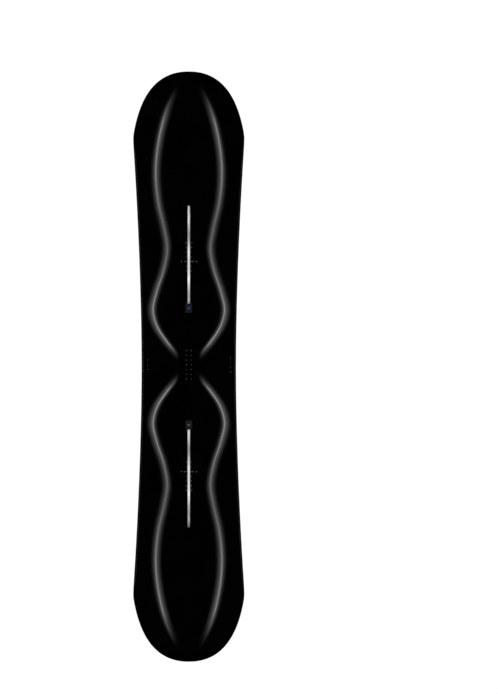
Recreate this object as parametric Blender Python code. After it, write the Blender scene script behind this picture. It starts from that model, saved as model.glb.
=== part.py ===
"""Twin snowboard with two binding channels, built up as a laminate of separate pieces.

Metres, +Z up, +Y towards the nose, +X to the right of somebody looking down at the deck.
The flat part of the base lies on Z = 0 and the middle of the board is at X = Y = 0.
"""

import math

import bmesh
import bpy
import numpy as np

# Plan outline
LENGTH = 1.580
WAIST_WIDTH = 0.2528
SIDECUT_DEPTH = 0.0231
WIDEST_TO_TIP = 0.182
SIDECUT_POWER = 1.755
TIP_MARGIN = 0.00123
TIP_LENGTH = 0.1152
TIP_POWER = 0.4548
OUTLINE_BLEND = 95.0

# Side profile
KICK_LEAD = 0.048
TIP_RISE = 0.042
CORE_THICKNESS = 0.0052
CORE_TIP_THICKNESS = 0.0016
TAPER_TO_TIP = 0.090
RAIL_TO_TAPER = 0.016

# Layers
BOND = 0.0001
BASE_LIP_THICKNESS = 0.0010
GLASS_THICKNESS = 0.0006
TOPSHEET_THICKNESS = 0.0005

# Steel edge and the rubber strip over its flange
EDGE_WIDTH = 0.0020
FLANGE_WIDTH = 0.0050
FLANGE_THICKNESS = 0.00035
DAMPING_THICKNESS = 0.00025

# Sidewalls, tip spacers and core
SIDEWALL_WIDTH = 0.0110
SIDEWALL_SLANT = 0.0043
SLANT_RUN = 0.050
STRIPS_PER_SIDE = 4

# Raised middle of the deck; its line gives distance from the middle and half width
RELIEF_HEIGHT = 0.0016
RELIEF_STEP = 0.026
RELIEF_LINE = (
    (0.000, 0.028), (0.034, 0.034), (0.066, 0.057), (0.098, 0.079), (0.148, 0.095),
    (0.202, 0.085), (0.258, 0.067), (0.317, 0.0575), (0.371, 0.066), (0.435, 0.081),
    (0.520, 0.089), (0.612, 0.080), (0.692, 0.059), (0.750, 0.034),
)
RELIEF_MIDDLE_FADE = (0.018, 0.078)
RELIEF_TIP_FADE = (0.160, 0.035)

# Binding channels, the front one; the rear one is its mirror image
CHANNEL_INNER = 0.1692
CHANNEL_LENGTH = 0.2623
NECK_WIDTH = 0.0080
SLOT_WIDTH = 0.0066
RAIL_WIDTH = 0.0180
RAIL_WALL = 0.0025
RAIL_FLOOR = 0.0008
RAIL_LIP = 0.0009
RAIL_CORNER = 0.0020

# Lift-out plug that covers the entry of each channel
PLUG_LENGTH = 0.0249
PLUG_WIDTH = 0.0180
PLUG_CORNER = 0.0040
PLUG_BEVEL = 0.0004

# Clearances
FIT = 0.0003
FLUSH = 0.0001

# Facets
TIP_FLAT = 0.00005
FIRST_ROW = 0.0006
TIP_ROWS = 13
CURVE_STEP = 0.015
SIDECUT_STEP = 0.062
DECK_STEP = 0.022
CORNER_STEPS = 5
SMOOTH_ANGLE = math.radians(25)

# Heights that follow from the layers, in the flat middle of the board
FLANGE = BASE_LIP_THICKNESS + BOND
DAMPING = FLANGE + FLANGE_THICKNESS + BOND
BASE_THICKNESS = DAMPING + DAMPING_THICKNESS
LOWER_GLASS = BASE_THICKNESS + BOND
CORE = LOWER_GLASS + GLASS_THICKNESS + BOND
RAIL_TOP = CORE + CORE_THICKNESS + BOND + GLASS_THICKNESS
CAVITY_FLOOR = CORE + RAIL_FLOOR
CAVITY_TOP = RAIL_TOP - RAIL_LIP
DECK = RAIL_TOP + BOND + TOPSHEET_THICKNESS
RAISED_DECK = DECK + RELIEF_HEIGHT

# Distances from the middle
WIDEST = LENGTH / 2 - WIDEST_TO_TIP
KICK_START = WIDEST - KICK_LEAD
CHANNEL_OUTER = CHANNEL_INNER + CHANNEL_LENGTH
PLUG_OUTER = CHANNEL_INNER - FIT
PLUG_INNER = PLUG_OUTER - PLUG_LENGTH
TROUGH_INNER = PLUG_INNER + RAIL_WALL
RAIL_INNER = TROUGH_INNER - RAIL_WALL - FIT
RAIL_OUTER = CHANNEL_OUTER + RAIL_WALL
TAPER = (RAIL_OUTER + RAIL_TO_TAPER, LENGTH / 2 - TAPER_TO_TIP)

# Widths that follow
TROUGH_WIDTH = RAIL_WIDTH - 2 * RAIL_WALL
COLUMN = RAIL_WIDTH / 2 + FIT
STRIP_PITCH = (WAIST_WIDTH / 2 - SIDEWALL_WIDTH - COLUMN) / STRIPS_PER_SIDE


def smooth_step(value, start, end):
    """Rise from 0 at start to 1 at end without a kink."""
    t = min(max((value - start) / (end - start), 0.0), 1.0)
    return t * t * (3 - 2 * t)


def tip_rounding(to_tip):
    """Rise from 0 at the tip towards 1 far from it."""
    return 1 - math.exp(-max(to_tip, 0.0) / TIP_LENGTH)


def half_width(y):
    """Half the width of the board at a distance y along it.

    A sidecut and a tip curve are blended. At the widest point the tip curve lies
    TIP_MARGIN outside the sidecut.
    """
    sidecut = WAIST_WIDTH / 2 + SIDECUT_DEPTH * (abs(y) / WIDEST) ** SIDECUT_POWER
    fullness = tip_rounding(LENGTH / 2 - abs(y)) / tip_rounding(WIDEST_TO_TIP)
    tip = (WAIST_WIDTH / 2 + SIDECUT_DEPTH + TIP_MARGIN) * fullness ** TIP_POWER
    return (sidecut ** -OUTLINE_BLEND + tip ** -OUTLINE_BLEND) ** (-1 / OUTLINE_BLEND)


def outline_slope(y):
    delta = TIP_FLAT / 10
    return (half_width(y + delta) - half_width(y - delta)) / (2 * delta)


def outline_point(y, inset):
    """Point on the right-hand outline at y, moved in by inset square to the outline."""
    slope = outline_slope(y)
    size = math.hypot(1, slope)
    return half_width(y) - inset / size, y + inset * slope / size


def base_height(y):
    """Height of the underside: flat, then an arc up to each tip."""
    run = LENGTH / 2 - KICK_START
    radius = (run * run + TIP_RISE * TIP_RISE) / (2 * TIP_RISE)
    beyond = max(abs(y) - KICK_START, 0.0)
    return radius - math.sqrt(radius * radius - beyond * beyond)


def core_thickness(y):
    """Thickness of the core, thinner towards the tips."""
    thinned = smooth_step(abs(y), *TAPER)
    return CORE_THICKNESS + (CORE_TIP_THICKNESS - CORE_THICKNESS) * thinned


def core_top(y):
    return CORE + core_thickness(y)


def upper_glass(y):
    return core_top(y) + BOND


def deck_underside(y):
    return upper_glass(y) + GLASS_THICKNESS + BOND


def deck_inset(y):
    """How far the edge of the deck stands in from the outline, nothing at the tips."""
    return SIDEWALL_SLANT * (1 - smooth_step(abs(y), WIDEST - SLANT_RUN, WIDEST))


def relief_line(y):
    """Half width of the raised area at y, a smooth curve through its points."""
    distance, width = np.array(RELIEF_LINE).T
    slopes = np.gradient(width, distance)
    at = min(max(abs(y), distance[0]), distance[-1])
    k = min(int(np.searchsorted(distance, at, side="right")) - 1, len(distance) - 2)
    span = distance[k + 1] - distance[k]
    t = (at - distance[k]) / span
    bend = t * t * (3 - 2 * t)
    tangents = span * (slopes[k] * t * (1 - t) ** 2 - slopes[k + 1] * t * t * (1 - t))
    return float(width[k] + (width[k + 1] - width[k]) * bend + tangents)


def relief(x, y):
    """Height of the raised area of the deck above the rest of it."""
    tip_fade = [LENGTH / 2 - distance for distance in RELIEF_TIP_FADE]
    fade = smooth_step(abs(y), *RELIEF_MIDDLE_FADE) * (1 - smooth_step(abs(y), *tip_fade))
    edge = relief_line(y)
    across = 1 - smooth_step(abs(x), edge - RELIEF_STEP / 2, edge + RELIEF_STEP / 2)
    return RELIEF_HEIGHT * fade * across


def steps(start, end, size):
    """Evenly spaced values from start to end, no further apart than size."""
    return list(np.linspace(start, end, max(math.ceil((end - start) / size), 1) + 1))


def core_rows(middle_step):
    """Cross-sections from the middle to the widest point, as distances."""
    middle = steps(0.0, TAPER[0], middle_step)
    taper = steps(TAPER[0], KICK_START, 2 * CURVE_STEP)
    return middle[:-1] + taper[:-1] + steps(KICK_START, WIDEST, CURVE_STEP)


def tip_rows():
    """Cross-sections past the widest point, closer together towards the tip."""
    half = LENGTH / 2
    tip = [half - FIRST_ROW * k * k for k in range(TIP_ROWS, 0, -1)] + [half - TIP_FLAT]
    return steps(WIDEST + FIT, tip[0], CURVE_STEP)[:-1] + tip


def both_ways(front):
    """Positions along the whole board from distances that start at its middle."""
    return [-y for y in front[:0:-1]] + front


def all_rows(middle_step=SIDECUT_STEP):
    return both_ways(core_rows(middle_step) + tip_rows())


def rounded_rectangle(x0, x1, y0, y1, radii):
    """Anticlockwise outline; the four radii start at the corner x1, y0."""
    corners = ((x1, y0, -90), (x1, y1, 0), (x0, y1, 90), (x0, y0, 180))
    points = []
    for (x, y, start), radius in zip(corners, radii):
        cx = x - math.copysign(radius, x - (x0 + x1) / 2)
        cy = y - math.copysign(radius, y - (y0 + y1) / 2)
        for k in range(CORNER_STEPS + 1):
            angle = math.radians(start + 90 * k / CORNER_STEPS)
            points.append((cx + radius * math.cos(angle), cy + radius * math.sin(angle)))
    return points


def add_rings(mesh, rings, caps=None):
    """Skin the closed rings one after the other and close both ends with caps."""
    made = [[mesh.verts.new(point) for point in ring] for ring in rings]
    count = len(made[0])
    for lower, upper in zip(made, made[1:]):
        for k in range(count):
            n = (k + 1) % count
            mesh.faces.new((lower[k], lower[n], upper[n], upper[k]))
    for corners in caps or [range(count)]:
        mesh.faces.new([made[0][k] for k in reversed(corners)])
        mesh.faces.new([made[-1][k] for k in corners])


def new_object(name, mesh, material=None, origin=(0.0, 0.0, 0.0)):
    """Turn a finished bmesh into an object whose faces point out, smooth where it bends."""
    bmesh.ops.translate(mesh, verts=mesh.verts, vec=[-value for value in origin])
    bmesh.ops.triangulate(mesh, faces=[face for face in mesh.faces if len(face.verts) > 4])
    bmesh.ops.recalc_face_normals(mesh, faces=mesh.faces)
    for face in mesh.faces:
        face.smooth = True
    for edge in mesh.edges:
        edge.smooth = edge.calc_face_angle() < SMOOTH_ANGLE
    data = bpy.data.meshes.new(name)
    mesh.to_mesh(data)
    mesh.free()
    body = bpy.data.objects.new(name, data)
    body.location = origin
    bpy.context.scene.collection.objects.link(body)
    if material:
        data.materials.append(material)
    return body


def surface(name, colour, roughness, metallic=0.0):
    """A plain material for one piece."""
    material = bpy.data.materials.new(name)
    material.use_nodes = True
    shader = material.node_tree.nodes["Principled BSDF"]
    shader.inputs["Base Color"].default_value = (*colour, 1.0)
    shader.inputs["Roughness"].default_value = roughness
    shader.inputs["Metallic"].default_value = metallic
    material.diffuse_color = (*colour, 1.0)
    return material


def lofted(name, rings, material, origin=(0.0, 0.0, 0.0), caps=None):
    mesh = bmesh.new()
    add_rings(mesh, rings, caps)
    return new_object(name, mesh, material, origin)


def placed(x, y, height):
    """Point of a layer: height is measured up from the underside of the board."""
    return x, y, base_height(y) + height


def sheet(name, material, stations, inset, bottom, top):
    """Layer that covers the plan outline; inset, bottom and top depend on y."""
    rings = []
    for y in stations:
        x, at = outline_point(y, inset(y))
        low, high = bottom(at), top(at)
        rings.append([placed(-x, at, low), placed(x, at, low),
                      placed(x, at, high), placed(-x, at, high)])
    return lofted(name, rings, material)


def outline_path(stations, ends):
    """Points on the right-hand outline, each with the direction square to it.

    The path is cut off straight across the board at the listed ends.
    """
    path = []
    for y in stations:
        outer, inner = outline_point(y, 0.0), outline_point(y, 1.0)
        path.append((outer, (outer[0] - inner[0], outer[1] - inner[1])))
    for k in ends:
        path[k] = (path[k][0], (1.0, 0.0))
    return path


def side_path():
    return outline_path(both_ways(core_rows(SIDECUT_STEP)), (0, -1))


def to_left(path):
    """The same path on the left-hand outline."""
    return [((-x, y), (-across, along)) for (x, y), (across, along) in path]


def tip_path(end):
    """Path round one tip, from its right-hand side to its left-hand side."""
    right = outline_path([end * y for y in tip_rows()], (0,))
    return right + to_left(right)[::-1]


def swept(name, material, path, section):
    """Piece that follows a path; section gives its inset and height pairs at y."""
    rings = []
    for point, normal in path:
        ring = []
        for inset, height in section(point[1]):
            x, y = point[0] - inset * normal[0], point[1] - inset * normal[1]
            ring.append(placed(x, y, height))
        rings.append(ring)
    return lofted(name, rings, material)


def prism(x0, x1, y0, y1, z0, z1, radii):
    """Rings of an upright block with rounded corners, for add_rings."""
    plan = rounded_rectangle(x0, x1, y0, y1, radii)
    return [[(x, y, z) for x, y in plan] for z in (z0, z1)]


def mirrored(rings, end):
    """The rings themselves for the front end, turned round for the rear end."""
    return [[(end * x, end * y, z) for x, y, z in ring] for ring in rings]


def cutter(name, rings):
    """Cutting body with one copy for the front channel and one for the rear."""
    mesh = bmesh.new()
    for end in (1, -1):
        add_rings(mesh, mirrored(rings, end))
    body = new_object(name, mesh)
    body.hide_render = True
    body.display_type = "WIRE"
    return body


def cut(body, *tools):
    for tool in tools:
        modifier = body.modifiers.new(tool.name, "BOOLEAN")
        modifier.operation = "DIFFERENCE"
        modifier.solver = "EXACT"
        modifier.object = tool


def make_base():
    """Running base, thinner round its border where the steel flange lies on it."""
    material = surface("base_sheet", (0.83, 0.84, 0.84), 0.35)
    rim = EDGE_WIDTH + BOND
    step = rim + FLANGE_WIDTH + BOND
    rings = []
    for y in all_rows():
        xo, yo = outline_point(y, rim)
        xi, yi = outline_point(y, step)
        rings.append([
            placed(-xo, yo, 0.0), placed(xo, yo, 0.0),
            placed(xo, yo, BASE_LIP_THICKNESS), placed(xi, yi, BASE_LIP_THICKNESS),
            placed(xi, yi, BASE_THICKNESS), placed(-xi, yi, BASE_THICKNESS),
            placed(-xi, yi, BASE_LIP_THICKNESS), placed(-xo, yo, BASE_LIP_THICKNESS),
        ])
    lofted("base_sheet", rings, material, caps=((0, 1, 2, 7), (7, 2, 3, 6), (6, 3, 4, 5)))


def make_edges():
    """Steel edge and damping strip along each side and round each tip."""
    flange_top = FLANGE + FLANGE_THICKNESS
    reach = EDGE_WIDTH + FLANGE_WIDTH
    steel = [(0.0, 0.0), (EDGE_WIDTH, 0.0), (EDGE_WIDTH, FLANGE), (reach, FLANGE),
             (reach, flange_top), (EDGE_WIDTH, flange_top), (EDGE_WIDTH, BASE_THICKNESS),
             (0.0, BASE_THICKNESS)]
    rubber = [(EDGE_WIDTH + BOND, DAMPING), (reach, DAMPING),
              (reach, BASE_THICKNESS), (EDGE_WIDTH + BOND, BASE_THICKNESS)]
    runs = {"right": side_path(), "left": to_left(side_path()),
            "nose": tip_path(1), "tail": tip_path(-1)}
    for label, path in runs.items():
        metal = surface(f"steel_edge_{label}", (0.55, 0.56, 0.58), 0.3, 1.0)
        swept(f"steel_edge_{label}", metal, path, lambda y: steel)
        black = surface(f"edge_damping_strip_{label}", (0.03, 0.03, 0.03), 0.8)
        swept(f"edge_damping_strip_{label}", black, path, lambda y: rubber)


def make_glass(bay):
    """Fibreglass layers below and above the core."""
    lower = surface("lower_glass_laminate", (0.60, 0.68, 0.58), 0.4)
    sheet("lower_glass_laminate", lower, all_rows(), lambda y: BOND,
          lambda y: LOWER_GLASS, lambda y: LOWER_GLASS + GLASS_THICKNESS)
    upper = surface("upper_glass_laminate", (0.58, 0.66, 0.56), 0.4)
    body = sheet("upper_glass_laminate", upper, all_rows(), lambda y: deck_inset(y) + BOND,
                 upper_glass, lambda y: upper_glass(y) + GLASS_THICKNESS)
    cut(body, bay)


def make_sidewalls():
    """Slanted plastic walls along the sidecut, upright at their ends."""

    def section(y):
        return [(0.0, CORE), (SIDEWALL_WIDTH, CORE), (SIDEWALL_WIDTH, core_top(y)),
                (deck_inset(y), core_top(y))]

    for label, path in (("left", to_left(side_path())), ("right", side_path())):
        plastic = surface(f"sidewall_{label}", (0.03, 0.028, 0.028), 0.5)
        swept(f"sidewall_{label}", plastic, path, section)


def make_spacers():
    """Plastic tip fillers between the end of the core and the outline."""
    for end, label in ((1, "nose"), (-1, "tail")):
        plastic = surface(f"tip_spacer_{label}", (0.05, 0.05, 0.05), 0.5)
        stations = [end * y for y in tip_rows()]
        sheet(f"tip_spacer_{label}", plastic, stations, lambda y: 0.0, lambda y: CORE, core_top)


def core_block(name, material, stations, left, right):
    """Straight or curved lengthwise piece of the core; left and right depend on y."""
    rings = []
    for y in stations:
        low, high = CORE, core_top(y)
        rings.append([placed(left(y), y, low), placed(right(y), y, low),
                      placed(right(y), y, high), placed(left(y), y, high)])
    return lofted(name, rings, material)


def wood(name, index):
    """Two kinds of wood that alternate from strip to strip."""
    pale, warm = (0.72, 0.55, 0.36), (0.55, 0.36, 0.20)
    return surface(name, pale if index % 2 else warm, 0.7)


def straight_rows():
    """Cross-sections for pieces with straight sides: none needed in the flat middle."""
    return [y for y in both_ways(core_rows(LENGTH)) if y != 0.0]


def make_core():
    """Wood core: edge-glued strips each side of a column that the channels interrupt."""
    for side, label in ((-1, "left"), (1, "right")):
        for k in range(STRIPS_PER_SIDE):
            name = f"core_strip_{label}_{k + 1}"
            inner = side * (COLUMN + k * STRIP_PITCH + BOND)
            outer = side * (COLUMN + (k + 1) * STRIP_PITCH)
            if k < STRIPS_PER_SIDE - 1:
                core_block(name, wood(name, k), straight_rows(),
                           lambda y: inner, lambda y: outer)
            else:
                core_block(name, wood(name, k), both_ways(core_rows(SIDECUT_STEP)),
                           lambda y: inner, lambda y: side * wall_inner_face(y))
    blocks = (("nose", RAIL_OUTER + FIT, WIDEST), ("tail", -WIDEST, -RAIL_OUTER - FIT),
              ("middle", -RAIL_INNER + FIT, RAIL_INNER - FIT))
    for label, start, end in blocks:
        name = f"core_block_{label}"
        inside = [y for y in straight_rows() if start + CURVE_STEP / 4 < y < end - CURVE_STEP / 4]
        core_block(name, wood(name, 3), [start] + inside + [end],
                   lambda y: -COLUMN, lambda y: COLUMN)


def wall_inner_face(y):
    """Where the sidewall leaves off, measured across the board at y."""
    return half_width(y) - (SIDEWALL_WIDTH + BOND) * math.hypot(1, outline_slope(y))


def make_topsheet(slots, pockets):
    """Deck surface with its raised middle, open over both channels and plugs."""
    material = surface("topsheet", (0.012, 0.012, 0.013), 0.3)
    rings = []
    for y in all_rows(DECK_STEP):
        x, at = outline_point(y, deck_inset(y))
        low = deck_underside(at)
        ring = [placed(-x, at, low), placed(x, at, low)]
        edge = relief_line(at)
        offsets = [edge + RELIEF_STEP * part for part in (1 / 2, 1 / 6, -1 / 6, -1 / 2)]
        squeeze = min(1.0, 0.9 * x / offsets[0])
        across = [x] + [offset * squeeze for offset in offsets]
        for px in across + [-value for value in across[::-1]]:
            ring.append(placed(px, at, low + TOPSHEET_THICKNESS + relief(px, at)))
        rings.append(ring)
    body = lofted("topsheet", rings, material)
    cut(body, slots, pockets)


def make_rails(slot, cavity, trough):
    """Aluminium channel: a wide body under the deck and a narrow neck up to it."""
    wide = rounded_rectangle(-RAIL_WIDTH / 2, RAIL_WIDTH / 2, RAIL_INNER, RAIL_OUTER,
                             [RAIL_CORNER] * 4)
    round_end = NECK_WIDTH / 2
    small = NECK_WIDTH / 20
    narrow = rounded_rectangle(-NECK_WIDTH / 2, NECK_WIDTH / 2, CHANNEL_INNER, CHANNEL_OUTER,
                               [small, round_end, round_end, small])
    rings = [[(x, y, z) for x, y in plan] for plan, z in
             ((wide, CORE), (wide, RAIL_TOP), (narrow, RAIL_TOP), (narrow, RAISED_DECK - FLUSH))]
    for end, label in ((1, "front"), (-1, "rear")):
        metal = surface(f"channel_rail_{label}", (0.78, 0.78, 0.79), 0.3, 1.0)
        body = lofted(f"channel_rail_{label}", mirrored(rings, end), metal)
        cut(body, cavity, trough, slot)


def make_plugs():
    """Rubber plug: a cap flush with the deck on a narrower foot in the trough."""
    foot_x = TROUGH_WIDTH / 2 - FIT
    foot = (-foot_x, foot_x, TROUGH_INNER + FIT, PLUG_OUTER - FIT)
    cap = (-PLUG_WIDTH / 2, PLUG_WIDTH / 2, PLUG_INNER, PLUG_OUTER)
    top = RAISED_DECK - FLUSH
    levels = (
        (foot, PLUG_CORNER / 2, 0.0, CAVITY_FLOOR + FIT),
        (foot, PLUG_CORNER / 2, 0.0, RAIL_TOP + BOND),
        (cap, PLUG_CORNER, 0.0, RAIL_TOP + BOND),
        (cap, PLUG_CORNER, 0.0, top - PLUG_BEVEL),
        (cap, PLUG_CORNER, PLUG_BEVEL, top),
    )
    rings = []
    for (x0, x1, y0, y1), corner, inset, z in levels:
        plan = rounded_rectangle(x0 + inset, x1 - inset, y0 + inset, y1 - inset,
                                 [corner - inset] * 4)
        rings.append([(x, y, z) for x, y in plan])
    middle = (PLUG_INNER + PLUG_OUTER) / 2
    for end, label in ((1, "front"), (-1, "rear")):
        rubber = surface(f"channel_plug_{label}", (0.012, 0.011, 0.011), 0.6)
        lofted(f"channel_plug_{label}", mirrored(rings, end), rubber,
               origin=(0.0, end * middle, RAIL_TOP))


def make_cutters():
    """Every opening, each in one object that serves front and rear."""
    above = RAISED_DECK + RELIEF_HEIGHT
    cavity_middle = (CAVITY_FLOOR + CAVITY_TOP) / 2
    small = SLOT_WIDTH / 20
    slot_end = SLOT_WIDTH / 2
    wall = (NECK_WIDTH - SLOT_WIDTH) / 2
    deck_slot = NECK_WIDTH / 2 + FIT
    pocket = PLUG_WIDTH / 2 + FIT
    bay = RAIL_WIDTH / 2 + FIT
    return {
        "slot": cutter("cut_rail_slot", prism(
            -slot_end, slot_end, PLUG_OUTER - PLUG_LENGTH / 4, CHANNEL_OUTER - wall,
            cavity_middle, above, [small, slot_end, slot_end, small])),
        "cavity": cutter("cut_rail_cavity", prism(
            -TROUGH_WIDTH / 2, TROUGH_WIDTH / 2, TROUGH_INNER, CHANNEL_OUTER - wall,
            CAVITY_FLOOR, CAVITY_TOP, [RAIL_CORNER] * 4)),
        "trough": cutter("cut_rail_trough", prism(
            -TROUGH_WIDTH / 2, TROUGH_WIDTH / 2, TROUGH_INNER, PLUG_OUTER,
            cavity_middle, above, [RAIL_CORNER] * 4)),
        "deck_slot": cutter("cut_deck_slot", prism(
            -deck_slot, deck_slot, PLUG_OUTER - PLUG_LENGTH / 4, CHANNEL_OUTER + FIT,
            CORE, above, [small, deck_slot, deck_slot, small])),
        "deck_pocket": cutter("cut_deck_pocket", prism(
            -pocket, pocket, PLUG_INNER - FIT, PLUG_OUTER + FIT, CORE, above,
            [PLUG_CORNER + FIT] * 4)),
        "bay": cutter("cut_glass_bay", prism(
            -bay, bay, RAIL_INNER - FIT, RAIL_OUTER + FIT, CORE, above,
            [RAIL_CORNER + FIT] * 4)),
    }


def main():
    for old in list(bpy.data.objects):
        bpy.data.objects.remove(old)
    tools = make_cutters()
    make_base()
    make_edges()
    make_glass(tools["bay"])
    make_core()
    make_sidewalls()
    make_spacers()
    make_rails(tools["slot"], tools["cavity"], tools["trough"])
    make_topsheet(tools["deck_slot"], tools["deck_pocket"])
    make_plugs()


main()
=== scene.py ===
"""Looks of the twin snowboard: finely shaped deck and plugs, printed marks, materials, studio.

Metres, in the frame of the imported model: the base lies on Z = 0 and the nose points to +Y.
"""

import math

import bmesh
import bpy
import numpy as np
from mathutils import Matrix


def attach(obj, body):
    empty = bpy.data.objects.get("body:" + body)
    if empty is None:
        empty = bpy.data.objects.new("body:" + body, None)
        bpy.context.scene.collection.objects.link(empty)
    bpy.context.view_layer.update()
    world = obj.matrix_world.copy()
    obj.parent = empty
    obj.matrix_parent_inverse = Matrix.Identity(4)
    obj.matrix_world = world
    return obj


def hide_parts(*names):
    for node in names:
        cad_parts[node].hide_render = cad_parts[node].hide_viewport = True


# Photograph
PHOTO_WIDTH = 498
PHOTO_HEIGHT = 694
METRES_PER_PIXEL = 0.0026766
BOARD_AT = (188.77, 366.6)
CAMERA_HEIGHT = 60.0
FOCUS_HEIGHT = 0.046
SENSOR = 36.0

# Plan outline of the board
LENGTH = 1.580
WAIST_WIDTH = 0.2528
SIDECUT_DEPTH = 0.0231
WIDEST_TO_TIP = 0.182
SIDECUT_POWER = 1.755
TIP_MARGIN = 0.00123
TIP_LENGTH = 0.1152
TIP_POWER = 0.4548
OUTLINE_BLEND = 95.0

# Side profile
KICK_LEAD = 0.048
TIP_RISE = 0.042
CORE = 0.0026
CORE_THICKNESS = 0.0052
CORE_TIP_THICKNESS = 0.0016
CORE_STRIPS = 4
TAPER = (0.450, 0.700)

# Deck
UNDER_DECK = 0.0008
TOPSHEET_THICKNESS = 0.0005
DECK_ROUNDING = 0.00012
# Border in parts of its rounding: steps inwards with their drop, then a row that keeps it flat
BORDER_PROFILE = ((0.0, 1.0), (0.3, 0.3), (1.0, 0.0))
BORDER_HOLD = 0.2
SIDEWALL_SLANT = 0.0043
SLANT_RUN = 0.050
RELIEF_HEIGHT = 0.0016
RELIEF_SIDE = 0.0213
RELIEF_POWER = 1.275
RELIEF_STEEPER = 1.20
RELIEF_GENTLER = 0.40
RELIEF_TURN = 0.385
RELIEF_TURN_RUN = 0.300
# Distance from the middle of the board, and half width of the raised area there
RELIEF_LINE = (
    (0.000, 0.028), (0.034, 0.034), (0.066, 0.057), (0.098, 0.079), (0.148, 0.095),
    (0.202, 0.085), (0.258, 0.067), (0.317, 0.0575), (0.371, 0.066), (0.435, 0.081),
    (0.520, 0.089), (0.612, 0.080), (0.692, 0.059), (0.750, 0.034),
)
# The middle fades in over distances from the middle, the ends over distances from the tips
RELIEF_MIDDLE_FADE = (0.000, 0.062)
RELIEF_TIP_FADE = (0.140, 0.000)
RELIEF_SWELL = 0.055
RELIEF_SWELL_FADE = (0.070, 0.130)

# Channel and plug
CHANNEL_INNER = 0.1692
CHANNEL_LENGTH = 0.2623
NECK_WIDTH = 0.0080
PLUG_LENGTH = 0.0249
PLUG_WIDTH = 0.0180
PLUG_CORNER = 0.0040
PLUG_BEVEL = 0.0004
PLUG_RIM = 0.0010
PLUG_DISH = 0.00025
PLUG_BEVEL_TURN = 0.3
SLOT_OVERLAP = PLUG_LENGTH / 4
SLOT_INNER_CORNER = 0.05
FOOT_LENGTH = 0.0218
FOOT_WIDTH = 0.0124
RAIL_FLOOR = 0.0008
FIT = 0.0003
FLUSH = 0.0001

# Printed marks
MARK_HEIGHT = 0.00003
TICK_WIDTH = 0.0006
TICK_PITCH = 0.0125
TICKS_BEFORE_REFERENCE = 2
# From the inner end of the channel outwards
TICK_REACH = (0.0078, 0.0073, 0.0087, 0.0078, 0.0080, 0.0088, 0.0096)
REFERENCE_TICK = 0.2812
RING_AT = 0.0108
RING_RADIUS = 0.0018
RING_LINE = 0.0002
DOT_AT = 0.0201
DOT_RADIUS = 0.00085
WAIST_DOT_RADIUS = 0.0007
WAIST_PITCH = 0.0128
# Place across the board, middle of the column along it, number of dots
WAIST_COLUMNS = (
    (-0.0065, 0.0048, 7), (0.0065, 0.0048, 7), (-0.1100, 0.0047, 3), (0.1120, 0.0046, 4),
)
ARROW_WIDTH = 0.0092
ARROW_LENGTH = 0.0070
ARROW_NOTCH = 0.0012
ARROW_LEAD = 0.0008

# Darkest and palest colour of each surface
DECK_BLACK = ((0.0001, 0.0001, 0.0001), (0.0004, 0.0004, 0.0004))
SIDEWALL_BLACK = ((0.0028, 0.0022, 0.0022), (0.0042, 0.0034, 0.0034))
DAMPING_BLACK = ((0.010, 0.010, 0.010), (0.020, 0.020, 0.020))
PLUG_BLACK = ((0.0046, 0.0024, 0.0028), (0.0073, 0.0039, 0.0045))
PRINT_GREY = ((0.22, 0.22, 0.22), (0.28, 0.28, 0.28))
PRINT_DIM = ((0.11, 0.11, 0.11), (0.15, 0.15, 0.15))
ARROW_BLUE = ((0.001, 0.049, 0.32), (0.001, 0.064, 0.40))
ARROW_GREY = ((0.079, 0.077, 0.078), (0.108, 0.105, 0.106))
BASE_WHITE = ((0.80, 0.81, 0.81), (0.86, 0.87, 0.87))
STEEL_GREY = ((0.46, 0.47, 0.49), (0.60, 0.61, 0.63))
GLASS_GREEN = ((0.20, 0.23, 0.19), (0.32, 0.36, 0.31))
WOOD_PALE = ((0.62, 0.46, 0.28), (0.76, 0.60, 0.40))
WOOD_WARM = ((0.42, 0.26, 0.13), (0.58, 0.39, 0.22))
FLOOR_PALE = ((0.80, 0.80, 0.80), (0.84, 0.84, 0.84))
METAL_TINT = ((0.0, 0.0, 0.0), (0.98, 0.98, 1.0))
# Nearly all of the noise that mixes them lies in this span
NOISE_SPAN = (0.3, 0.7)

# How strongly each surface that isn't metal mirrors
USUAL_GLOSS = 0.5
SIDEWALL_GLOSS = 0.02
ARROW_GLOSS = 0.04
PLUG_GLOSS = 0.10
SOFT_GLOSS = 0.3
BASE_GLOSS = 0.4

# Brightness along each channel: level, bands, and two trends as places with their factors; the
# second trend is painted shade that darkens one end of the channel
METAL_LEVEL = 0.555
METAL_BANDS = (0.13, 0.13)
METAL_TREND = ((-0.080, 0.100), (1.1, 0.8))
METAL_END_SHADE = ((-0.160, -0.125), (0.2, 1.0))
BAND_PITCH = 0.0805
BAND_START = {"front": 0.3108, "rear": -0.2647}
# Darkening of the neck above the channel's floor, and the heights where it starts and ends
NECK_SHADE = 0.05
NECK_SHADE_HEIGHTS = (CORE + 0.0025, CORE + 0.0040)

# Studio
FLOOR_SIZE = 80.0
FLOOR_GLOW = 0.87
FLOOR_STRENGTH = 1.10
FLOOR_FADE = (1.2, 4.0)
SKY_WHITE = 0.09
SKY_DARK = 0.20
RING_LIGHT = 0.5
RING_RISE = (0.40, 0.52)
RING_FALL = (0.58, 0.70)
LAMP_HEIGHT = 6.0
LAMP_LENGTH = 7.2
LAMP_LEAD = 0.0780
# Angles in degrees from the vertical; the core is a strip where a softbox grows brighter
SOFTBOX_ANGLES = (0.1, 11.6)
SOFTBOX_RADIANCE = 5.0
SOFTBOX_FALL = 2.75
SOFTBOX_CORE = (0.84, 0.87, 0.0, 0.75)
FILL_ANGLES = (13.0, 60.0)
FILL_RADIANCE = 3.6
FILL_END = (0.25, 0.5)

# Facets
DECK_ROW = 0.005
TIP_ROW = 0.00015
TIP_ROWS = 26
TIP_FLAT = 0.00005
SLOPE_STEP = TIP_FLAT / 10
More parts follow.
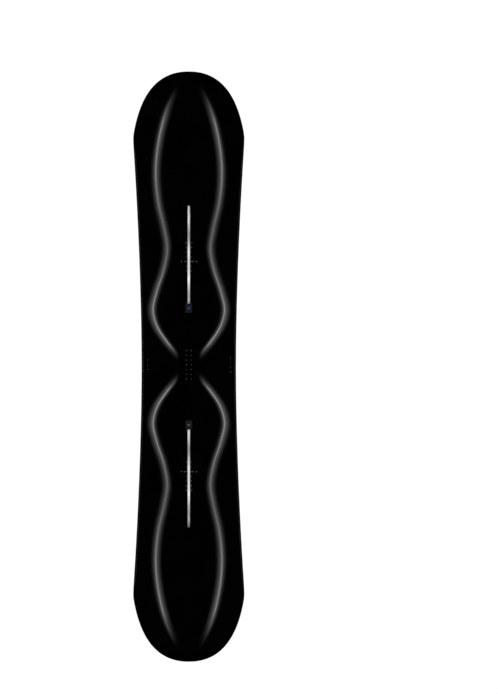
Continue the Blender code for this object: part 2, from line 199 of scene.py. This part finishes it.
# Columns of the relief: how they crowd to its line, how far they go, and where they stop
RELIEF_COLUMNS = 10
RELIEF_CROWDING = 1.5
RELIEF_BEYOND = 1.04
RELIEF_LIMIT = 0.985
CORNER_STEPS = 10
CIRCLE_STEPS = 24
SMOOTH_ANGLE = math.radians(25)
EDGE_ROUNDING = 0.00012
ROUNDING_STEPS = 2
ROUNDING_ANGLE = math.radians(40)
WELD = 1e-7
PACKED_WELD = 1e-6

# What follows from the sizes above
HALF = LENGTH / 2
WIDEST = HALF - WIDEST_TO_TIP
KICK_START = WIDEST - KICK_LEAD
CHANNEL_OUTER = CHANNEL_INNER + CHANNEL_LENGTH
PLUG_OUTER = CHANNEL_INNER - FIT
PLUG_INNER = PLUG_OUTER - PLUG_LENGTH
RAISED_DECK = CORE + CORE_THICKNESS + UNDER_DECK + TOPSHEET_THICKNESS + RELIEF_HEIGHT


def smooth_step(value, start, end):
    """Rise from 0 at start to 1 at end without a kink."""
    t = min(max((value - start) / (end - start), 0.0), 1.0)
    return t * t * (3 - 2 * t)


def tip_rounding(to_tip):
    """Rise from 0 at the tip towards 1 far from it."""
    return 1 - math.exp(-max(to_tip, 0.0) / TIP_LENGTH)


def half_width(y):
    """Half the width of the board at y: a sidecut and a tip curve, blended."""
    sidecut = WAIST_WIDTH / 2 + SIDECUT_DEPTH * (abs(y) / WIDEST) ** SIDECUT_POWER
    fullness = tip_rounding(HALF - abs(y)) / tip_rounding(WIDEST_TO_TIP)
    tip = (WAIST_WIDTH / 2 + SIDECUT_DEPTH + TIP_MARGIN) * fullness ** TIP_POWER
    return (sidecut ** -OUTLINE_BLEND + tip ** -OUTLINE_BLEND) ** (-1 / OUTLINE_BLEND)


def outline_point(y, inset):
    """Point on the right-hand outline at y, moved in by inset square to the outline."""
    slope = (half_width(y + SLOPE_STEP) - half_width(y - SLOPE_STEP)) / (2 * SLOPE_STEP)
    size = math.hypot(1, slope)
    return half_width(y) - inset / size, y + inset * slope / size


def base_height(y):
    """Height of the underside: flat, then an arc up to each tip."""
    run = HALF - KICK_START
    radius = (run * run + TIP_RISE * TIP_RISE) / (2 * TIP_RISE)
    beyond = max(abs(y) - KICK_START, 0.0)
    return radius - math.sqrt(radius * radius - beyond * beyond)


def deck_underside(y):
    """Height of the topsheet's underside above the base, thinner towards the tips."""
    thinned = smooth_step(abs(y), *TAPER)
    core = CORE_THICKNESS + (CORE_TIP_THICKNESS - CORE_THICKNESS) * thinned
    return CORE + core + UNDER_DECK


def deck_inset(y):
    """How far the edge of the deck stands in from the outline, nothing at the tips."""
    return SIDEWALL_SLANT * (1 - smooth_step(abs(y), WIDEST - SLANT_RUN, WIDEST))


def relief_line(y):
    """Half width of the raised area at y, a smooth curve through its points."""
    distance, width = np.array(RELIEF_LINE).T
    slopes = np.gradient(width, distance)
    at = min(max(abs(y), distance[0]), distance[-1])
    k = min(int(np.searchsorted(distance, at, side="right")) - 1, len(distance) - 2)
    span = distance[k + 1] - distance[k]
    t = (at - distance[k]) / span
    bend = t * t * (3 - 2 * t)
    tangents = span * (slopes[k] * t * (1 - t) ** 2 - slopes[k + 1] * t * t * (1 - t))
    return float(width[k] + (width[k + 1] - width[k]) * bend + tangents)


def relief_powers(y):
    """How sharply the slope dies out from the relief line, outwards and inwards.

    Towards the tips it runs out far on the inside, near the middle on the outside.
    """
    lean = (RELIEF_TURN - abs(y)) / RELIEF_TURN_RUN
    gentle = RELIEF_POWER - RELIEF_GENTLER * abs(lean)
    steep = RELIEF_POWER + RELIEF_STEEPER * abs(lean)
    return (gentle, steep) if lean > 0 else (steep, gentle)


def relief(x, y):
    """Height of the raised area of the deck above the rest of it."""
    tip_fade = [HALF - distance for distance in RELIEF_TIP_FADE]
    fade = smooth_step(abs(y), *RELIEF_MIDDLE_FADE) * (1 - smooth_step(abs(y), *tip_fade))
    swell = 1 + RELIEF_SWELL * (1 - smooth_step(abs(y), *RELIEF_SWELL_FADE))
    outward, inward = relief_powers(y)
    outer, inner = 1 / (outward + 1), 1 / (inward + 1)
    beyond = (abs(x) - relief_line(y)) / RELIEF_SIDE
    if beyond > 0:
        share = outer * max(1 - beyond, 0.0) ** (outward + 1)
    else:
        share = outer + inner - inner * max(1 + beyond, 0.0) ** (inward + 1)
    return RELIEF_HEIGHT * fade * swell * share / (outer + inner)


def rounded_rectangle(x0, x1, y0, y1, radii):
    """Anticlockwise outline; the four radii start at the corner x1, y0."""
    corners = ((x1, y0, -90), (x1, y1, 0), (x0, y1, 90), (x0, y0, 180))
    points = []
    for (x, y, start), radius in zip(corners, radii):
        cx = x - math.copysign(radius, x - (x0 + x1) / 2)
        cy = y - math.copysign(radius, y - (y0 + y1) / 2)
        for k in range(CORNER_STEPS + 1):
            angle = math.radians(start + 90 * k / CORNER_STEPS)
            points.append((cx + radius * math.cos(angle), cy + radius * math.sin(angle)))
    return points


def circle(x, y, radius):
    """Anticlockwise outline of a circle."""
    angles = [math.tau * k / CIRCLE_STEPS for k in range(CIRCLE_STEPS)]
    return [(x + radius * math.cos(a), y + radius * math.sin(a)) for a in angles]


def add_rings(mesh, rings, closed_ends=True):
    """Skin the closed rings one after the other and close both ends."""
    made = [[mesh.verts.new(point) for point in ring] for ring in rings]
    for lower, upper in zip(made, made[1:]):
        for k in range(len(lower)):
            n = (k + 1) % len(lower)
            mesh.faces.new((lower[k], lower[n], upper[n], upper[k]))
    if closed_ends:
        mesh.faces.new(made[0][::-1])
        mesh.faces.new(made[-1])


def add_plate(mesh, outline, low, high):
    """Upright plate of this outline between two heights."""
    add_rings(mesh, [[(x, y, z) for x, y in outline] for z in (low, high)])


def new_object(name, mesh, material=None):
    """Turn a finished bmesh into an object whose faces point out, smooth where it bends."""
    bmesh.ops.recalc_face_normals(mesh, faces=mesh.faces)
    data = bpy.data.meshes.new(name)
    mesh.to_mesh(data)
    mesh.free()
    data.shade_smooth()
    data.set_sharp_from_angle(angle=SMOOTH_ANGLE)
    piece = bpy.data.objects.new(name, data)
    bpy.context.scene.collection.objects.link(piece)
    if material:
        data.materials.append(material)
    return piece


def on_body(piece, body):
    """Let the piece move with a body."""
    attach(piece, body)
    return piece


def cut_out(piece, *outlines):
    """Cut upright holes of these outlines through the piece."""
    for outline in outlines:
        mesh = bmesh.new()
        add_plate(mesh, outline, 0.0, RAISED_DECK + RELIEF_HEIGHT)
        tool = new_object("cutter", mesh)
        modifier = piece.modifiers.new("cut", "BOOLEAN")
        modifier.solver = "EXACT"
        modifier.object = tool
        shown = piece.evaluated_get(bpy.context.evaluated_depsgraph_get())
        old = piece.data
        piece.data = bpy.data.meshes.new_from_object(shown)
        piece.modifiers.clear()
        bpy.data.meshes.remove(old)
        bpy.data.objects.remove(tool)
    piece.data.set_sharp_from_angle(angle=SMOOTH_ANGLE)


def deck_rows():
    """Cross-sections of the deck, closer together towards each tip."""
    tip = [HALF - TIP_ROW * k * k for k in range(TIP_ROWS, 0, -1)] + [HALF - TIP_FLAT]
    count = math.ceil(tip[0] / DECK_ROW)
    front = [tip[0] * k / count for k in range(count)] + tip
    return [-y for y in front[:0:-1]] + front


def deck_ring(y):
    """One cross-section: underside, rounded border, both slopes and the raised middle."""
    border = []
    for inward, drop in BORDER_PROFILE:
        x, at = outline_point(y, deck_inset(y) + inward * DECK_ROUNDING)
        border.append((x, at, deck_underside(at) + TOPSHEET_THICKNESS - drop * DECK_ROUNDING))
    x, at, high = border[-1]
    edge = relief_line(at)
    shares = [(k / RELIEF_COLUMNS) ** RELIEF_CROWDING for k in range(RELIEF_COLUMNS + 1)]
    steps = [RELIEF_SIDE * share for share in shares + [RELIEF_BEYOND]]
    offsets = steps[:0:-1] + [-step for step in steps]
    squeeze = min(1.0, RELIEF_LIMIT * x / (edge + offsets[0]))
    across = [x - BORDER_HOLD * DECK_ROUNDING] + [squeeze * (edge + offset) for offset in offsets]
    slope = [(px, at, high + relief(px, at)) for px in across]
    right = [(border[0][0], border[0][1], deck_underside(border[0][1]))] + border + slope
    left = [(-px, py, z) for px, py, z in right[::-1]]
    return [(px, py, base_height(py) + z) for px, py, z in right + left]


def make_deck(material):
    """Deck surface, open over both channels and plugs."""
    mesh = bmesh.new()
    add_rings(mesh, [deck_ring(y) for y in deck_rows()])
    deck = new_object("deck", mesh, material)
    slot = NECK_WIDTH / 2 + FIT
    pocket = PLUG_WIDTH / 2 + FIT
    sharp = SLOT_INNER_CORNER * slot
    for end in (1, -1):
        holes = (
            rounded_rectangle(-slot, slot, PLUG_OUTER - SLOT_OVERLAP, CHANNEL_OUTER + FIT,
                              [sharp, slot, slot, sharp]),
            rounded_rectangle(-pocket, pocket, PLUG_INNER - FIT, PLUG_OUTER + FIT,
                              [PLUG_CORNER + FIT] * 4),
        )
        cut_out(deck, *[[(end * x, end * y) for x, y in hole] for hole in holes])
    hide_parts("topsheet")
    return on_body(deck, "board")


def make_plug(label, end, rubber, ink):
    """Lift-out plug: foot, cap with a rim round a shallow dish, and an arrow in it."""
    middle = (PLUG_INNER + PLUG_OUTER) / 2
    underside = CORE + CORE_THICKNESS + UNDER_DECK
    top = RAISED_DECK - FLUSH
    turn = PLUG_BEVEL_TURN * PLUG_BEVEL
    cap, foot = (PLUG_WIDTH, PLUG_LENGTH), (FOOT_WIDTH, FOOT_LENGTH)
    levels = (
        (foot, PLUG_CORNER / 2, 0.0, CORE + RAIL_FLOOR + FIT),
        (foot, PLUG_CORNER / 2, 0.0, underside),
        (cap, PLUG_CORNER, 0.0, underside),
        (cap, PLUG_CORNER, 0.0, top - PLUG_BEVEL),
        (cap, PLUG_CORNER, turn, top - turn),
        (cap, PLUG_CORNER, PLUG_BEVEL, top),
        (cap, PLUG_CORNER, PLUG_BEVEL + PLUG_RIM, top),
        (cap, PLUG_CORNER, 2 * PLUG_BEVEL + PLUG_RIM, top - PLUG_DISH),
    )
    rings = []
    for (width, length), corner, inset, z in levels:
        x, y = width / 2 - inset, length / 2 - inset
        plan = rounded_rectangle(-x, x, -y, y, [corner - inset] * 4)
        rings.append([(end * px, end * (py + middle), z) for px, py in plan])
    mesh = bmesh.new()
    add_rings(mesh, rings)
    plug = new_object(f"plug_{label}", mesh, rubber)
    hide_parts(f"channel_plug_{label}")
    on_body(plug, f"plug_{label}")
    back = middle + ARROW_LEAD - ARROW_LENGTH / 2
    outline = ((-ARROW_WIDTH / 2, back), (0.0, back + ARROW_NOTCH), (ARROW_WIDTH / 2, back),
               (0.0, back + ARROW_LENGTH))
    mesh = bmesh.new()
    add_plate(mesh, [(end * x, end * y) for x, y in outline], top - 2 * PLUG_DISH,
              top - PLUG_DISH / 2)
    arrow = new_object(f"arrow_{label}", mesh, ink)
    on_body(arrow, f"plug_{label}")


def add_mark(mesh, outline):
    """Printed mark on the raised deck."""
    add_plate(mesh, outline, RAISED_DECK - MARK_HEIGHT, RAISED_DECK + MARK_HEIGHT)


def add_ring_mark(mesh, x, y, radius):
    """Thin printed ring."""
    low, high = RAISED_DECK - MARK_HEIGHT, RAISED_DECK + MARK_HEIGHT
    section = ((radius, low), (radius, high), (radius - RING_LINE, high),
               (radius - RING_LINE, low), (radius, low))
    rings = [[(px, py, z) for px, py in circle(x, y, r)] for r, z in section]
    add_rings(mesh, rings, closed_ends=False)
    bmesh.ops.remove_doubles(mesh, verts=mesh.verts, dist=WELD)


def make_channel_marks(label, end, ink):
    """Scale beside one channel, with a ring and a dot at its reference tick."""
    mesh = bmesh.new()
    start = NECK_WIDTH / 2 + 2 * FIT
    for k, reach in enumerate(TICK_REACH):
        y = REFERENCE_TICK + (k - TICKS_BEFORE_REFERENCE) * TICK_PITCH
        for side in (1, -1):
            x0, x1 = sorted((side * start, side * reach))
            low, high = sorted((end * (y - TICK_WIDTH / 2), end * (y + TICK_WIDTH / 2)))
            add_mark(mesh, ((x0, low), (x1, low), (x1, high), (x0, high)))
    for side in (1, -1):
        add_ring_mark(mesh, side * RING_AT, end * REFERENCE_TICK, RING_RADIUS)
        add_mark(mesh, circle(side * DOT_AT, end * REFERENCE_TICK, DOT_RADIUS))
    on_body(new_object(f"marks_{label}", mesh, ink), "board")


def make_waist_marks(ink):
    """Columns of plain dots across the middle of the board."""
    mesh = bmesh.new()
    for x, middle, count in WAIST_COLUMNS:
        for k in range(count):
            y = middle + (k - (count - 1) / 2) * WAIST_PITCH
            level = deck_underside(y) + TOPSHEET_THICKNESS + relief(x, y)
            outline = circle(x, y, WAIST_DOT_RADIUS)
            add_plate(mesh, outline, level - 2 * MARK_HEIGHT, level + MARK_HEIGHT)
    on_body(new_object("marks_waist", mesh, ink), "board")


def add_node(tree, kind, inputs=None, **settings):
    """New node: settings are its own options, inputs are values or sockets to link."""
    made = tree.nodes.new(kind)
    for key, value in settings.items():
        setattr(made, key, value)
    for key, value in (inputs or {}).items():
        if isinstance(value, bpy.types.NodeSocket):
            tree.links.new(value, made.inputs[key])
        else:
            made.inputs[key].default_value = value
    return made


def new_material(name, metallic=0.0, gloss=USUAL_GLOSS):
    """Material with its node tree and its Principled shader."""
    material = bpy.data.materials.new(name)
    material.use_nodes = True
    shader = material.node_tree.nodes["Principled BSDF"]
    shader.inputs["Metallic"].default_value = metallic
    shader.inputs["Specular IOR Level"].default_value = gloss
    return material, material.node_tree, shader


def coordinates(tree, stretch=(1.0, 1.0, 1.0)):
    """Places on the object, squeezed or drawn out along its axes."""
    place = add_node(tree, "ShaderNodeTexCoord").outputs["Object"]
    mapping = add_node(tree, "ShaderNodeMapping", {"Vector": place, "Scale": stretch})
    return mapping.outputs["Vector"]


def noise(tree, scale, stretch=(1.0, 1.0, 1.0), detail=3.0):
    """Noise from 0 to 1; a larger scale is finer, a small stretch draws it out on that axis."""
    texture = add_node(tree, "ShaderNodeTexNoise", {
        "Vector": coordinates(tree, stretch), "Scale": scale, "Detail": detail})
    return spread(tree, texture.outputs["Fac"], *NOISE_SPAN, 0.0, 1.0)


def spread(tree, value, low, high, to_low, to_high, curve="LINEAR"):
    """Run from to_low to to_high while the value runs from low to high, and hold beyond."""
    made = add_node(tree, "ShaderNodeMapRange", {
        "Value": value, "From Min": low, "From Max": high, "To Min": to_low, "To Max": to_high},
        interpolation_type=curve)
    return made.outputs["Result"]


def between(tree, factor, low, high):
    """Value between low and high."""
    return spread(tree, factor, 0.0, 1.0, low, high)


def arithmetic(tree, operation, first, second=0.0):
    """Result of one sum on numbers or sockets."""
    made = add_node(tree, "ShaderNodeMath", {0: first, 1: second}, operation=operation)
    return made.outputs[0]


def blend(tree, factor, low, high):
    """Colour between low and high."""
    ramp = add_node(tree, "ShaderNodeValToRGB", {"Fac": factor})
    ramp.color_ramp.elements[0].color = (*low, 1.0)
    ramp.color_ramp.elements[1].color = (*high, 1.0)
    return ramp.outputs["Color"]


def finish_surface(tree, shader, colour, roughness, pattern, depth):
    """Link colour, roughness and a bump in this pattern and depth to the shader."""
    bump = add_node(tree, "ShaderNodeBump", {"Height": pattern, "Distance": depth})
    tree.links.new(colour, shader.inputs["Base Color"])
    tree.links.new(roughness, shader.inputs["Roughness"])
    tree.links.new(bump.outputs["Normal"], shader.inputs["Normal"])


def deck_lacquer():
    """Near-black lacquer with a fine grain and slow clouds of gloss."""
    material, tree, shader = new_material("deck_lacquer")
    grain = noise(tree, scale=1500.0, detail=2.0)
    cloud = noise(tree, scale=14.0)
    colour = blend(tree, cloud, *DECK_BLACK)
    roughness = between(tree, cloud, 0.045, 0.060)
    finish_surface(tree, shader, colour, roughness, grain, depth=0.000001)
    return material


def milled_plastic(name):
    """Dark plastic milled along the board."""
    material, tree, shader = new_material(name, gloss=SIDEWALL_GLOSS)
    lines = noise(tree, scale=900.0, stretch=(1.0, 0.01, 1.0), detail=2.0)
    cloud = noise(tree, scale=60.0)
    colour = blend(tree, cloud, *SIDEWALL_BLACK)
    roughness = between(tree, lines, 0.45, 0.62)
    finish_surface(tree, shader, colour, roughness, lines, depth=0.00002)
    return material


def ground_steel():
    """Steel edge with grinding lines along the board."""
    material, tree, shader = new_material("ground_steel", metallic=1.0)
    lines = noise(tree, scale=2200.0, stretch=(1.0, 0.02, 1.0))
    cloud = noise(tree, scale=40.0)
    colour = blend(tree, cloud, *STEEL_GREY)
    roughness = between(tree, lines, 0.22, 0.40)
    finish_surface(tree, shader, colour, roughness, lines, depth=0.00001)
    return material


def ground_base():
    """Pale sintered base with the fine lengthwise structure of a stone grind."""
    material, tree, shader = new_material("ground_base", gloss=BASE_GLOSS)
    lines = noise(tree, scale=1200.0, stretch=(1.0, 0.015, 1.0), detail=2.0)
    cloud = noise(tree, scale=25.0)
    colour = blend(tree, cloud, *BASE_WHITE)
    roughness = between(tree, lines, 0.32, 0.48)
    finish_surface(tree, shader, colour, roughness, lines, depth=0.00002)
    return material


def drawn_aluminium(label):
    """Bright channel floor with drawing lines, slow bands and painted shade towards one end, and
    a dark neck above it.
    """
    material, tree, shader = new_material(f"drawn_aluminium_{label}", metallic=1.0)
    lines = noise(tree, scale=2500.0, stretch=(1.0, 0.012, 1.0))
    place = add_node(tree, "ShaderNodeSeparateXYZ", {"Vector": coordinates(tree)})
    along = arithmetic(tree, "SUBTRACT", place.outputs["Y"], BAND_START[label])
    turn = arithmetic(tree, "MULTIPLY", along, math.pi / BAND_PITCH)
    quick = arithmetic(tree, "COSINE", arithmetic(tree, "MULTIPLY", turn, 2.0))
    slow = arithmetic(tree, "SINE", turn)
    bands = arithmetic(tree, "SUBTRACT", arithmetic(tree, "MULTIPLY", quick, METAL_BANDS[0]),
                       arithmetic(tree, "MULTIPLY", slow, METAL_BANDS[1]))
    level = arithmetic(tree, "ADD", bands, METAL_LEVEL)
    # The second trend is painted shade, darkening the floor towards one end of the channel
    for span, values in (METAL_TREND, METAL_END_SHADE):
        level = arithmetic(tree, "MULTIPLY", level, spread(tree, along, *span, *values))
    shade = spread(tree, place.outputs["Z"], *NECK_SHADE_HEIGHTS, 1.0, NECK_SHADE)
    colour = blend(tree, arithmetic(tree, "MULTIPLY", level, shade), *METAL_TINT)
    roughness = between(tree, lines, 0.34, 0.42)
    finish_surface(tree, shader, colour, roughness, lines, depth=0.00001)
    return material


def wood(name, low, high):
    """Straight-grained core wood."""
    material, tree, shader = new_material(name, gloss=SOFT_GLOSS)
    grain = noise(tree, scale=420.0, stretch=(1.0, 0.03, 1.0), detail=5.0)
    colour = blend(tree, grain, low, high)
    roughness = between(tree, grain, 0.65, 0.80)
    finish_surface(tree, shader, colour, roughness, grain, depth=0.00005)
    return material


def glass_weave():
    """Resin-soaked glass cloth: two sets of threads across each other."""
    material, tree, shader = new_material("glass_weave")
    threads = []
    for direction in ("X", "Y"):
        wave = add_node(tree, "ShaderNodeTexWave", {
            "Vector": coordinates(tree), "Scale": 130.0}, bands_direction=direction)
        threads.append(wave.outputs["Fac"])
    weave = arithmetic(tree, "MULTIPLY", *threads)
    colour = blend(tree, weave, *GLASS_GREEN)
    roughness = between(tree, weave, 0.30, 0.50)
    finish_surface(tree, shader, colour, roughness, weave, depth=0.00003)
    return material


def rubber(name, low, high, gloss=SOFT_GLOSS):
    """Moulded rubber with a fine matt grain."""
    material, tree, shader = new_material(name, gloss=gloss)
    grain = noise(tree, scale=1800.0, detail=2.0)
    cloud = noise(tree, scale=120.0)
    colour = blend(tree, cloud, low, high)
    roughness = between(tree, grain, 0.55, 0.75)
    finish_surface(tree, shader, colour, roughness, grain, depth=0.00002)
    return material


def ink(name, low, high, gloss=SOFT_GLOSS):
    """Screen-printed ink, a little uneven."""
    material, tree, shader = new_material(name, gloss=gloss)
    patch = noise(tree, scale=900.0)
    colour = blend(tree, patch, low, high)
    roughness = between(tree, patch, 0.45, 0.60)
    finish_surface(tree, shader, colour, roughness, patch, depth=0.000005)
    return material


def smoothing_group():
    """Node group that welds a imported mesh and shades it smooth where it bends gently."""
    group = bpy.data.node_groups.new("smooth_shading", "GeometryNodeTree")
    for way in ("INPUT", "OUTPUT"):
        group.interface.new_socket("Geometry", in_out=way, socket_type="NodeSocketGeometry")
    start = add_node(group, "NodeGroupInput").outputs["Geometry"]
    weld = add_node(group, "GeometryNodeMergeByDistance", {
        "Geometry": start, "Distance": PACKED_WELD})
    bare = add_node(group, "GeometryNodeRemoveAttribute", {
        "Geometry": weld.outputs["Geometry"], "Name": "custom_normal"})
    faces = add_node(group, "GeometryNodeSetShadeSmooth", {"Geometry": bare.outputs["Geometry"]})
    angle = add_node(group, "GeometryNodeInputMeshEdgeAngle").outputs["Unsigned Angle"]
    gentle = add_node(group, "FunctionNodeCompare", {"A": angle, "B": SMOOTH_ANGLE},
                      operation="LESS_THAN").outputs["Result"]
    edges = add_node(group, "GeometryNodeSetShadeSmooth", {
        "Geometry": faces.outputs["Geometry"], "Shade Smooth": gentle}, domain="EDGE")
    add_node(group, "NodeGroupOutput", {"Geometry": edges.outputs["Geometry"]})
    return group


def dress(start, material, group, bevel=0.0):
    """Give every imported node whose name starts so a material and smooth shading."""
    for name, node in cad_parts.items():
        if not name.startswith(start):
            continue
        for slot in node.material_slots:
            slot.material = material
        node.modifiers.new("smooth", "NODES").node_group = group
        if bevel:
            rounding = node.modifiers.new("rounding", "BEVEL")
            rounding.width = bevel
            rounding.segments = ROUNDING_STEPS
            rounding.limit_method = "ANGLE"
            rounding.angle_limit = ROUNDING_ANGLE
            rounding.harden_normals = True


def dress_nodes():
    """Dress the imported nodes, outside and inside."""
    group = smoothing_group()
    dress("base_sheet", ground_base(), group)
    dress("steel_edge", ground_steel(), group, EDGE_ROUNDING)
    dress("sidewall", milled_plastic("milled_sidewall"), group)
    dress("tip_spacer", milled_plastic("milled_spacer"), group)
    dress("edge_damping", rubber("damping_rubber", *DAMPING_BLACK), group)
    weave = glass_weave()
    dress("lower_glass", weave, group)
    dress("upper_glass", weave, group)
    for label in ("front", "rear"):
        dress(f"channel_rail_{label}", drawn_aluminium(label), group, EDGE_ROUNDING)
    pale = wood("pale_wood", *WOOD_PALE)
    warm = wood("warm_wood", *WOOD_WARM)
    dress("core_block", pale, group)
    for side in ("left", "right"):
        for k in range(CORE_STRIPS):
            dress(f"core_strip_{side}_{k + 1}", pale if k % 2 else warm, group)


def make_pieces():
    """Deck, plugs with their arrows, and printed marks."""
    make_deck(deck_lacquer())
    plug_rubber = rubber("plug_rubber", *PLUG_BLACK, PLUG_GLOSS)
    arrows = {"front": ink("arrow_blue", *ARROW_BLUE, ARROW_GLOSS),
              "rear": ink("arrow_grey", *ARROW_GREY, ARROW_GLOSS)}
    print_grey = ink("print_grey", *PRINT_GREY)
    for label, end in (("front", 1), ("rear", -1)):
        make_plug(label, end, plug_rubber, arrows[label])
        make_channel_marks(label, end, print_grey)
    make_waist_marks(ink("print_dim", *PRINT_DIM))


def light_path_share(tree):
    """1 for camera, glossy and transmission rays, 0 for the rest."""
    path = add_node(tree, "ShaderNodeLightPath")
    total = path.outputs["Is Camera Ray"]
    for kind in ("Is Glossy Ray", "Is Transmission Ray"):
        total = arithmetic(tree, "MAXIMUM", total, path.outputs[kind])
    return total


def make_floor():
    """Pale floor that keeps a faint shadow of the board and is plain white far from it."""
    mesh = bmesh.new()
    bmesh.ops.create_grid(mesh, x_segments=1, y_segments=1, size=FLOOR_SIZE / 2)
    floor = new_object("floor", mesh)
    floor.location.z = -FIT
    material, tree, shader = new_material("pale_floor", gloss=0.0)
    cloud = noise(tree, scale=2.0)
    tree.links.new(blend(tree, cloud, *FLOOR_PALE), shader.inputs["Base Color"])
    shader.inputs["Roughness"].default_value = 1.0
    glow = add_node(tree, "ShaderNodeEmission", {"Strength": FLOOR_STRENGTH})
    distance = add_node(tree, "ShaderNodeVectorMath", {0: coordinates(tree)}, operation="LENGTH")
    glowing = spread(tree, distance.outputs["Value"], *FLOOR_FADE, FLOOR_GLOW, 1.0)
    share = arithmetic(tree, "MULTIPLY", light_path_share(tree), glowing)
    mix = add_node(tree, "ShaderNodeMixShader", {
        "Fac": share, 1: shader.outputs["BSDF"], 2: glow.outputs["Emission"]})
    tree.links.new(mix.outputs["Shader"], tree.nodes["Material Output"].inputs["Surface"])
    floor.data.materials.append(material)


def make_world():
    """White round the horizon and below, a dim ring of light above it, and a black ceiling."""
    world = bpy.data.worlds.new("studio")
    bpy.context.scene.world = world
    world.use_nodes = True
    tree = world.node_tree
    direction = add_node(tree, "ShaderNodeTexCoord").outputs["Generated"]
    height = add_node(tree, "ShaderNodeSeparateXYZ", {"Vector": direction}).outputs["Z"]
    horizon = spread(tree, height, SKY_WHITE, SKY_DARK, 1.0, 0.0, "SMOOTHSTEP")
    rise = spread(tree, height, *RING_RISE, 0.0, RING_LIGHT, "SMOOTHSTEP")
    fall = spread(tree, height, *RING_FALL, 1.0, 0.0, "SMOOTHSTEP")
    strength = arithmetic(tree, "ADD", horizon, arithmetic(tree, "MULTIPLY", rise, fall))
    tree.links.new(strength, tree.nodes["Background"].inputs["Strength"])
    tree.nodes["Background"].inputs["Color"].default_value = (1.0, 1.0, 1.0, 1.0)


def lamp_share(tree, axis):
    """Place on the lamp's face along one of its axes, from 0 to 1."""
    place = add_node(tree, "ShaderNodeNewGeometry").outputs["Parametric"]
    return add_node(tree, "ShaderNodeSeparateXYZ", {"Vector": place}).outputs[axis]


def softbox_strength(tree, outward):
    """Dies out towards the near edge, with a brighter strip along the far edge."""
    slow = arithmetic(tree, "POWER", outward, SOFTBOX_FALL)
    return arithmetic(tree, "ADD", slow, spread(tree, outward, *SOFTBOX_CORE))


def fill_strength(tree, outward):
    """Dies out towards the far edge and both ends."""
    along = lamp_share(tree, "Y")
    from_middle = arithmetic(tree, "ABSOLUTE", arithmetic(tree, "SUBTRACT", along, 0.5))
    inner = arithmetic(tree, "SUBTRACT", 1.0, outward)
    return arithmetic(tree, "MULTIPLY", inner, spread(tree, from_middle, *FILL_END, 1.0, 0.0))


def make_lamp(name, side, angles, radiance, shape):
    """Long lamp over one side of the board, between two angles from the vertical.

    The angles are taken at the relief line, and about the mirror image of the camera, so that
    both sides are lit alike.
    """
    inner, outer = (LAMP_HEIGHT * math.tan(math.radians(angle)) for angle in angles)
    lamp = bpy.data.lights.new(name, "AREA")
    lamp.shape = "RECTANGLE"
    lamp.size = outer - inner
    lamp.size_y = LAMP_LENGTH
    lamp.energy = radiance * math.pi * lamp.size * lamp.size_y
    lamp.use_nodes = True
    tree = lamp.node_tree
    near, far = (0.0, 1.0) if side > 0 else (1.0, 0.0)
    outward = spread(tree, lamp_share(tree, "X"), near, far, 0.0, 1.0)
    tree.links.new(shape(tree, outward), tree.nodes["Emission"].inputs["Strength"])
    piece = bpy.data.objects.new(name, lamp)
    axis = [-value * LAMP_HEIGHT / CAMERA_HEIGHT for value in camera_place()]
    piece.location = (axis[0] + side * (LAMP_LEAD + (inner + outer) / 2), axis[1], LAMP_HEIGHT)
    piece.visible_camera = False
    bpy.context.scene.collection.objects.link(piece)


def camera_place():
    """Where the camera stands over the board, in X and Y."""
    return ((PHOTO_WIDTH / 2 - BOARD_AT[0]) * METRES_PER_PIXEL,
            (BOARD_AT[1] - PHOTO_HEIGHT / 2) * METRES_PER_PIXEL)


def make_camera():
    """Camera square above the board, where the photograph shows its deck."""
    camera = bpy.data.cameras.new("camera")
    distance = CAMERA_HEIGHT - FOCUS_HEIGHT
    camera.sensor_width = SENSOR
    camera.lens = SENSOR * distance / (PHOTO_HEIGHT * METRES_PER_PIXEL)
    camera.clip_end = 2 * CAMERA_HEIGHT
    piece = bpy.data.objects.new("camera", camera)
    piece.location = (*camera_place(), CAMERA_HEIGHT)
    bpy.context.scene.collection.objects.link(piece)
    bpy.context.scene.camera = piece


def make_studio():
    """Floor, world, lamps and camera."""
    bpy.context.scene.view_settings.view_transform = "Standard"
    make_floor()
    make_world()
    for side, label in ((1, "right"), (-1, "left")):
        make_lamp(f"softbox_{label}", side, SOFTBOX_ANGLES, SOFTBOX_RADIANCE, softbox_strength)
        make_lamp(f"fill_{label}", side, FILL_ANGLES, FILL_RADIANCE, fill_strength)
    make_camera()


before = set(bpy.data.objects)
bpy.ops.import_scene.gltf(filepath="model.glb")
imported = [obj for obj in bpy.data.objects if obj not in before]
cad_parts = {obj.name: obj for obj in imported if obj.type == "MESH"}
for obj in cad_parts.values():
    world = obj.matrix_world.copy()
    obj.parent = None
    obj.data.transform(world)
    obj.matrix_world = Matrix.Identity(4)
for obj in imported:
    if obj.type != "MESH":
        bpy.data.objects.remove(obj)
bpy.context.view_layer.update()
make_studio()
dress_nodes()
make_pieces()
